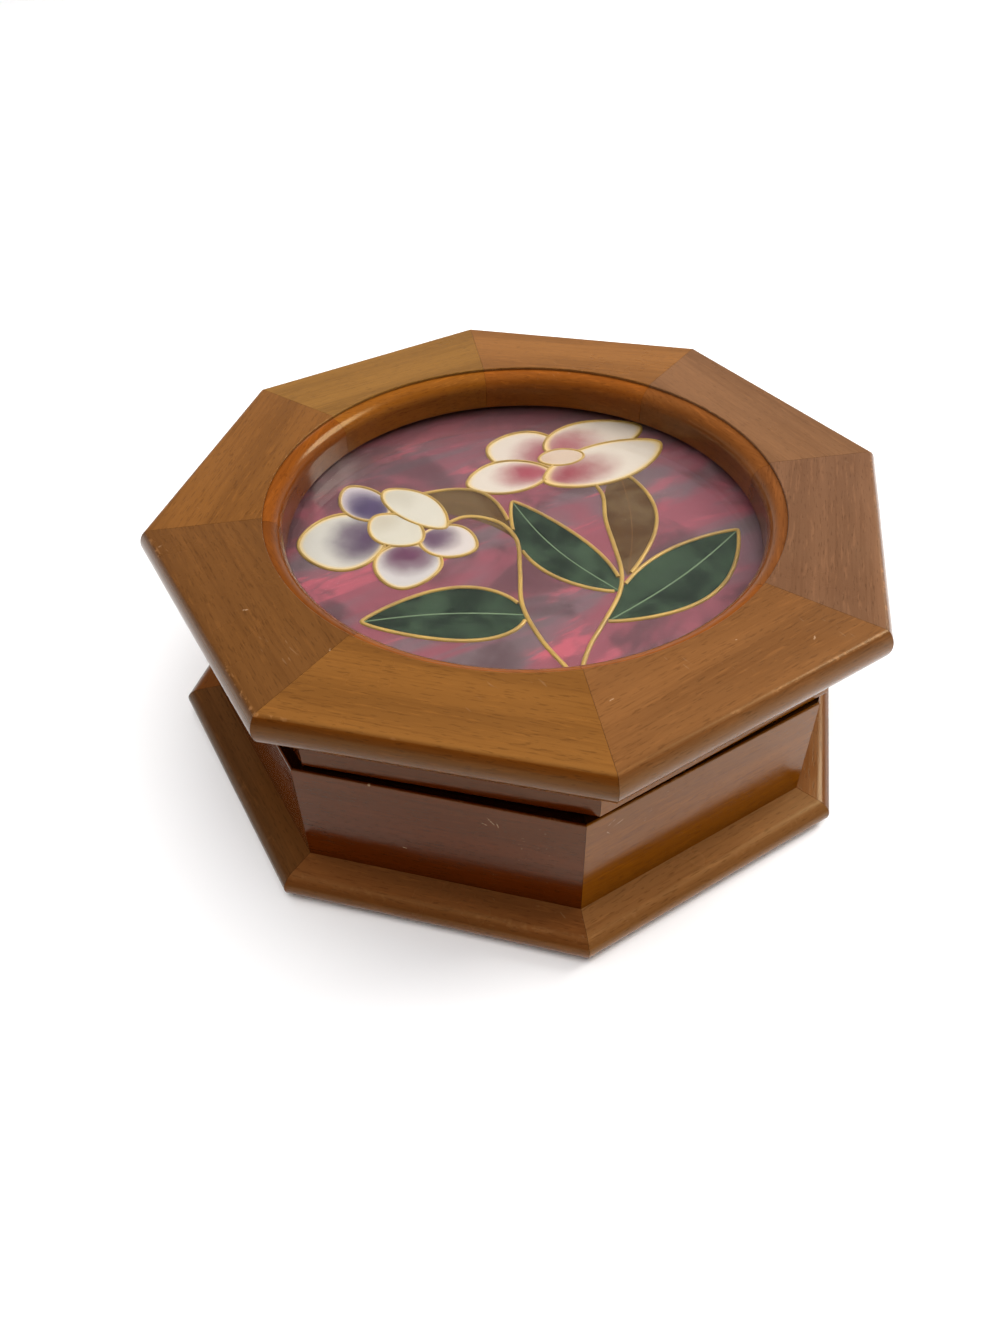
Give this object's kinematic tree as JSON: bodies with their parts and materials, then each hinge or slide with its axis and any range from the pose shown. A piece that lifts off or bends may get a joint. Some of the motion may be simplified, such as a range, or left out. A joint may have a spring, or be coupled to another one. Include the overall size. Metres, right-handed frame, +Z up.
{
  "type": "wooden jewelry box",
  "caption": "Octagonal wooden jewelry box with a loose mitred lid, whose round beaded opening frames a glazed flower picture.",
  "frame": {"origin": "centre of the box's underside, on the bottom board", "axes": "+Z up, -Y out of the front wall (wall_1), +X out of wall_3; walls 2, 4, 6 and 8 lie on the diagonals"},
  "size_m": [0.1612, 0.1613, 0.0568],
  "materials": {
    "lacquered_wood": "satin lacquer",
    "plain_wood": "bare, sanded",
    "glass": "clear, polished",
    "picture": "painted, with raised gold outlines"
  },
  "bodies": {
    "root": {"base_moulding_1": "lacquered_wood", "base_moulding_2": "lacquered_wood", "base_moulding_3": "lacquered_wood", "base_moulding_4": "lacquered_wood", "base_moulding_5": "lacquered_wood", "base_moulding_6": "lacquered_wood", "base_moulding_7": "lacquered_wood", "base_moulding_8": "lacquered_wood", "wall_1": "lacquered_wood", "wall_2": "lacquered_wood", "wall_3": "lacquered_wood", "wall_4": "lacquered_wood", "wall_5": "lacquered_wood", "wall_6": "lacquered_wood", "wall_7": "lacquered_wood", "wall_8": "lacquered_wood", "lid_rail_1": "lacquered_wood", "lid_rail_2": "lacquered_wood", "lid_rail_3": "lacquered_wood", "lid_rail_4": "lacquered_wood", "lid_rail_5": "lacquered_wood", "lid_rail_6": "lacquered_wood", "lid_rail_7": "lacquered_wood", "lid_rail_8": "lacquered_wood", "bottom_board": "plain_wood", "lid_glass": "glass", "picture_panel": "picture"}
  },
  "joints": []
}
